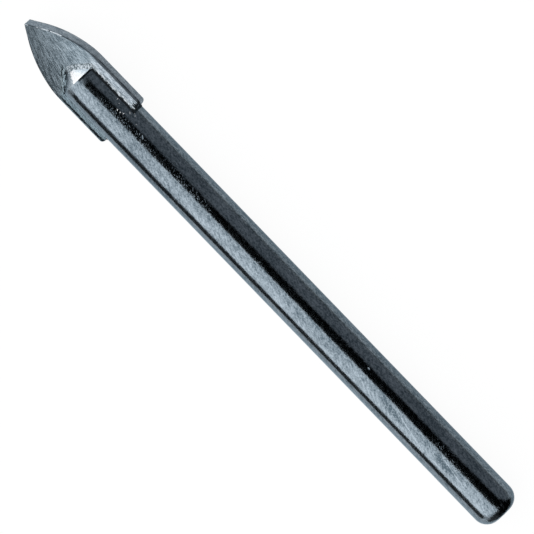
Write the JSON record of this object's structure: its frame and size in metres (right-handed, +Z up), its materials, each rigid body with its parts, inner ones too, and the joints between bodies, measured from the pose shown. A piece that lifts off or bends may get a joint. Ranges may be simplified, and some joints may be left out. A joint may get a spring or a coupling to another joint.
{
  "type": "glass and tile drill bit",
  "caption": "Spear-point drill bit for glass and tile: a flat ground carbide tip brazed into a slot across the coned front of a round steel shank, for right-hand rotation in a drill chuck.",
  "frame": {"origin": "bottom centre of the bit's box, on the bench that it lies on", "axes": "+X along the shank from the point to the chuck end, +Z up from the bench"},
  "size_m": [0.0905, 0.0084, 0.0063],
  "materials": {
    "shank_steel": "satin blue-grey steel with a mottled, lengthwise grain",
    "carbide": "ground grey carbide with fine lengthwise scratches",
    "silver_braze": "bright uneven silver braze"
  },
  "bodies": {
    "root": {"shank": "shank_steel", "carbide_tip": "carbide", "braze": "silver_braze"}
  },
  "joints": []
}
